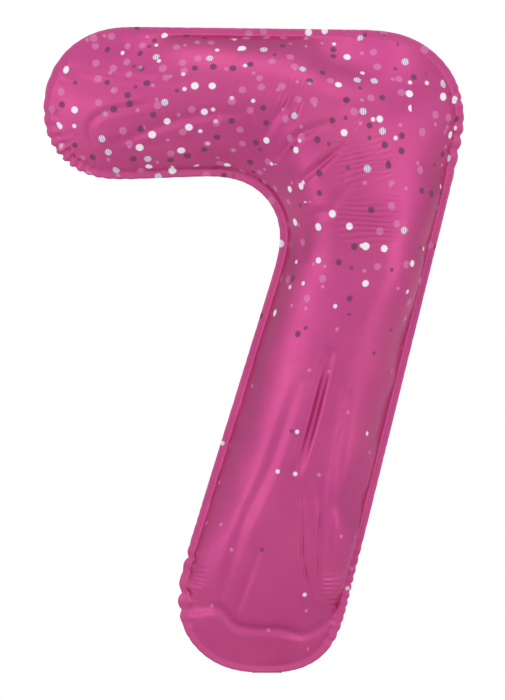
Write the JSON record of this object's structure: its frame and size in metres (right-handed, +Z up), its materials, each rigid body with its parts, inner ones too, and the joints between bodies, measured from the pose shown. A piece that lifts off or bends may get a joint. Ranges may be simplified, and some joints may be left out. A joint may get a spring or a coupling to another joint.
{
  "type": "foil number balloon",
  "caption": "Inflated foil balloon in the shape of the digit seven, with a sealed rim, a fold-up filling tail and a self-sealing film valve.",
  "frame": {"origin": "middle of the fold between neck and tail at the foot of the digit, in the plane of the seam", "axes": "+Z up along the height of the digit, +X to the reader's right when the digit reads correctly, +Y to the back, so the printed front faces -Y"},
  "size_m": [0.5085, 0.1626, 0.7758],
  "materials": {
    "foil": "satin magenta print on metallised nylon film, with pale, silver and dark confetti dots, densest at the top",
    "seal": "heat-sealed band in the same magenta, a little duller",
    "valve": "thin milky polyethylene film"
  },
  "bodies": {
    "balloon": {"front_panel": "foil", "back_panel": "foil", "perimeter_seal": "seal", "valve_neck_front_film": "valve", "valve_neck_back_film": "valve"},
    "tail": {"tail_front_ply": "foil", "tail_back_ply": "foil", "tail_left_seal": "seal", "tail_right_seal": "seal", "valve_inlet_front_film": "valve", "valve_inlet_back_film": "valve"},
    "valve_back": {"valve_inner_back_film": "valve"},
    "valve_front": {"valve_inner_front_film": "valve"}
  },
  "joints": [
    {"name": "tail_fold", "type": "hinge", "parent": "balloon", "child": "tail", "pos_m": [0, 0, 0], "axis": [1, 0, 0], "range_deg": [-260, 0]},
    {"name": "valve_swing", "type": "hinge", "parent": "balloon", "child": "valve_back", "pos_m": [0, 0, 0.0103], "axis": [1, 0, 0], "range_deg": [-15, 15]},
    {"name": "valve_open", "type": "hinge", "parent": "valve_back", "child": "valve_front", "pos_m": [0, 0, 0.0103], "axis": [1, 0, 0], "range_deg": [0, 5], "stiffness_Nm_per_rad": 0.004}
  ]
}
